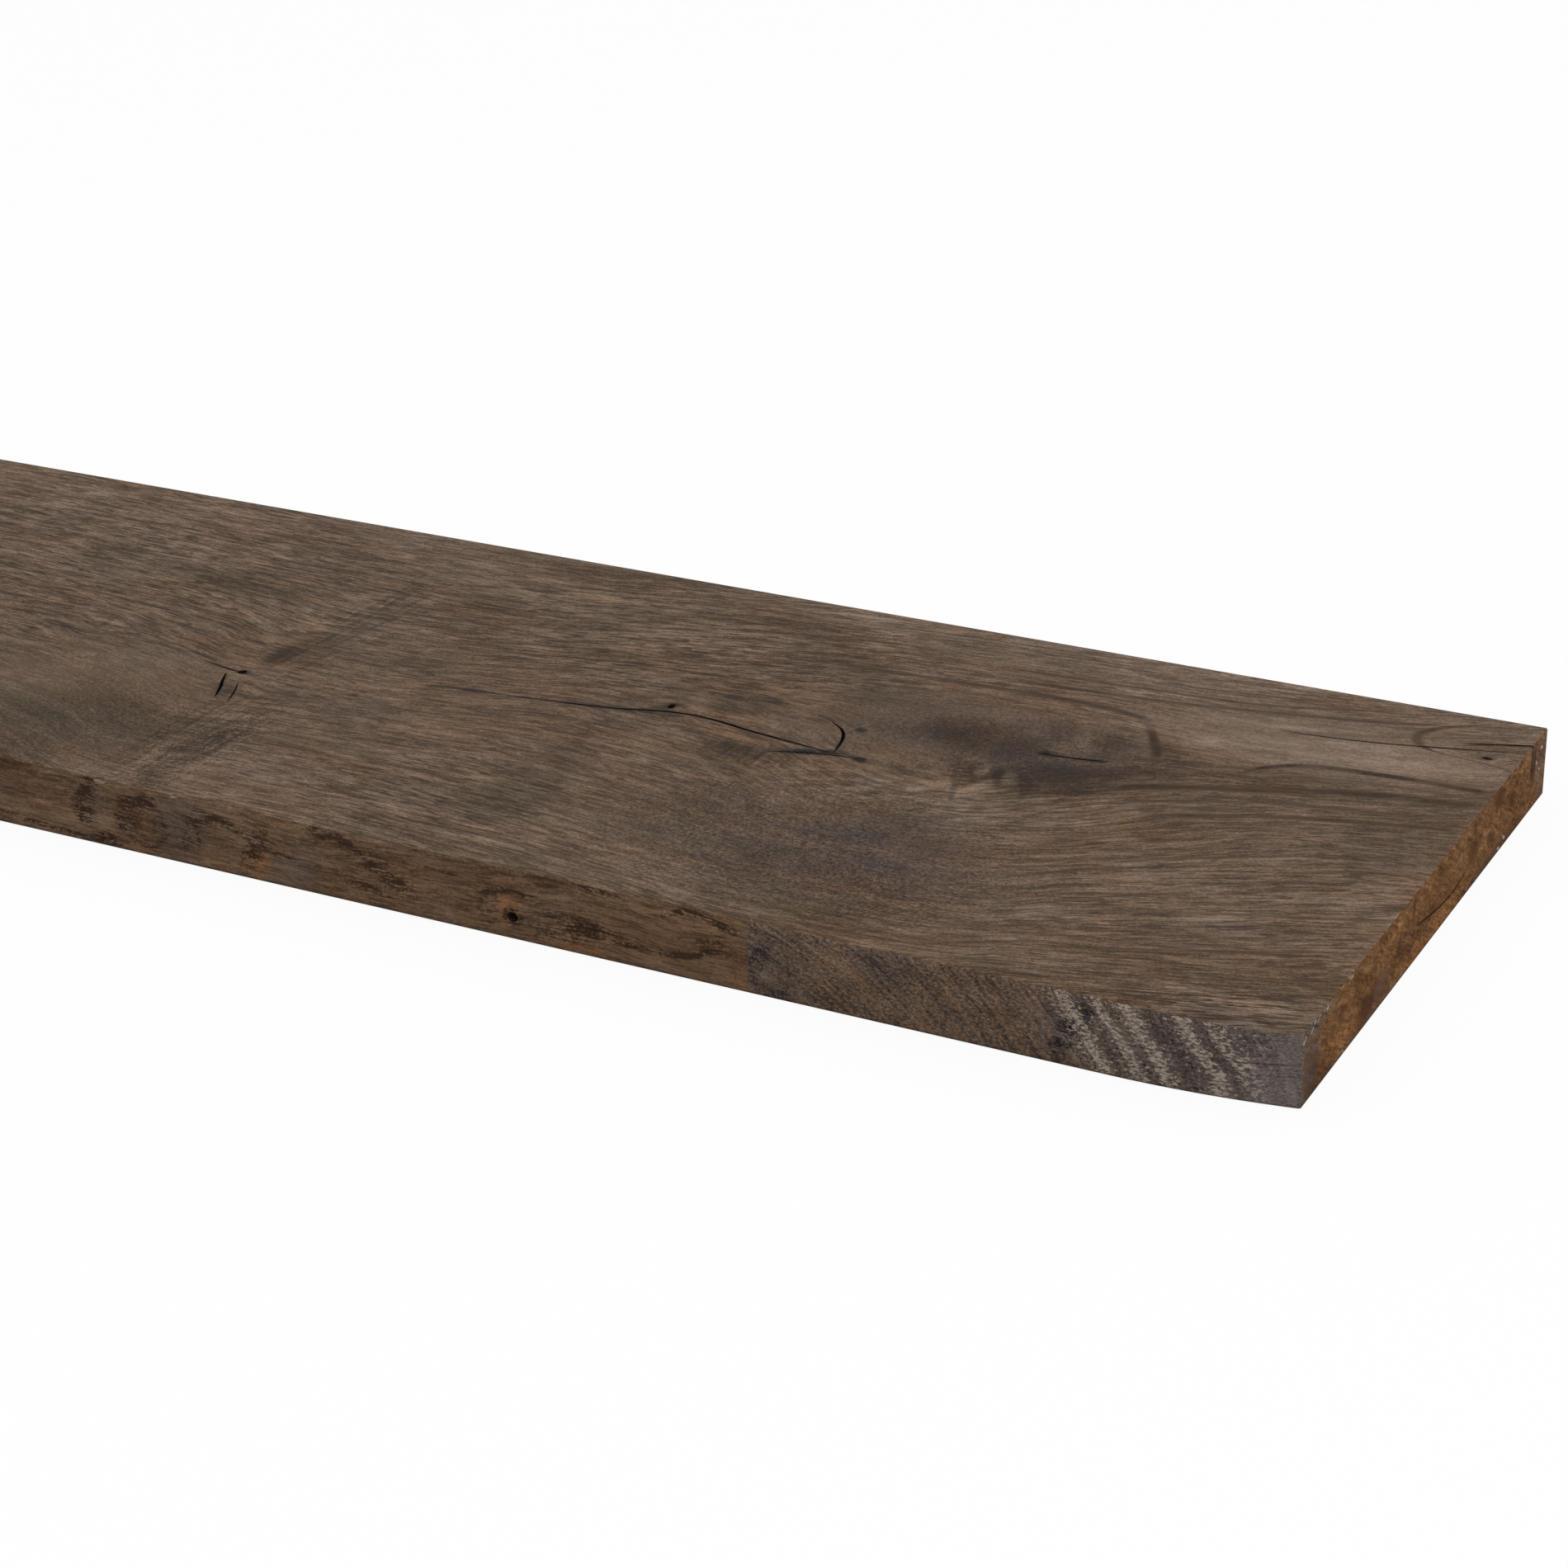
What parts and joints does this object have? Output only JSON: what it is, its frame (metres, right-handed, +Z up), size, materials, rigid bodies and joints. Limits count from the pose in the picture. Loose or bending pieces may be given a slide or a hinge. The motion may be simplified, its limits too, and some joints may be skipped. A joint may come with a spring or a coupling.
{
  "type": "reclaimed oak plank",
  "caption": "Flat sawn board of old oak with a worn corner, open cracks, pin knots and rubbed arrises.",
  "frame": {"origin": "centre of the underside", "axes": "+X along the grain to the sawn end that the picture shows, +Y across the board to its far edge, +Z up out of the top face"},
  "size_m": [1.2, 0.2, 0.02],
  "materials": {
    "oak": "bare, planed, weathered matt"
  },
  "bodies": {
    "root": {"plank": "oak"}
  },
  "joints": []
}
